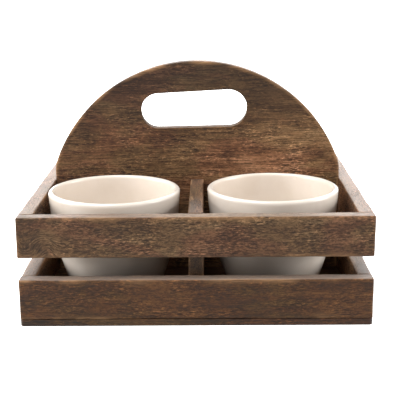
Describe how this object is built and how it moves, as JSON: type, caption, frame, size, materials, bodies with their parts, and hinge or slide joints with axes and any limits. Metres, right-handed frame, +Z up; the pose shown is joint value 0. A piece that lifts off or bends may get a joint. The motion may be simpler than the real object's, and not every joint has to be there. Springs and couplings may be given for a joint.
{
  "type": "divided bowl caddy",
  "caption": "Square slatted wooden caddy with an arched handle board, a divider and lift-out round stoneware bowls for chips and dips.",
  "frame": {"origin": "on the floor under the middle of the crate", "axes": "+Z up, +X to the right along the handle board, +Y to the back along the divider"},
  "size_m": [0.28, 0.28, 0.1958],
  "materials": {
    "stained_wood": "brown stain, open grain",
    "stained_base_wood": "brown stain, open grain",
    "beech_dowel": "bare",
    "glazed_stoneware": "cream gloss glaze",
    "zinc_plated_steel": "zinc plated"
  },
  "bodies": {
    "caddy": {"base_panel": "stained_base_wood", "lower_front_rail": "stained_wood", "lower_back_rail": "stained_wood", "lower_left_rail": "stained_wood", "lower_right_rail": "stained_wood", "upper_front_rail": "stained_wood", "upper_back_rail": "stained_wood", "upper_left_rail": "stained_wood", "upper_right_rail": "stained_wood", "handle_board": "stained_wood", "divider": "stained_wood", "lower_corner_dowels": "beech_dowel", "upper_corner_dowels": "beech_dowel", "handle_board_dowels": "beech_dowel", "divider_dowels": "beech_dowel", "base_screws": "zinc_plated_steel"},
    "bowl_front_left": {"bowl_front_left": "glazed_stoneware"},
    "bowl_front_right": {"bowl_front_right": "glazed_stoneware"},
    "bowl_back_left": {"bowl_back_left": "glazed_stoneware"},
    "bowl_back_right": {"bowl_back_right": "glazed_stoneware"}
  },
  "joints": [
    {"name": "bowl_front_left_lift", "type": "slide", "parent": "caddy", "child": "bowl_front_left", "axis": [0, 0, 1], "range_m": [0, 0.2]},
    {"name": "bowl_front_right_lift", "type": "slide", "parent": "caddy", "child": "bowl_front_right", "axis": [0, 0, 1], "range_m": [0, 0.2]},
    {"name": "bowl_back_left_lift", "type": "slide", "parent": "caddy", "child": "bowl_back_left", "axis": [0, 0, 1], "range_m": [0, 0.2]},
    {"name": "bowl_back_right_lift", "type": "slide", "parent": "caddy", "child": "bowl_back_right", "axis": [0, 0, 1], "range_m": [0, 0.2]}
  ]
}
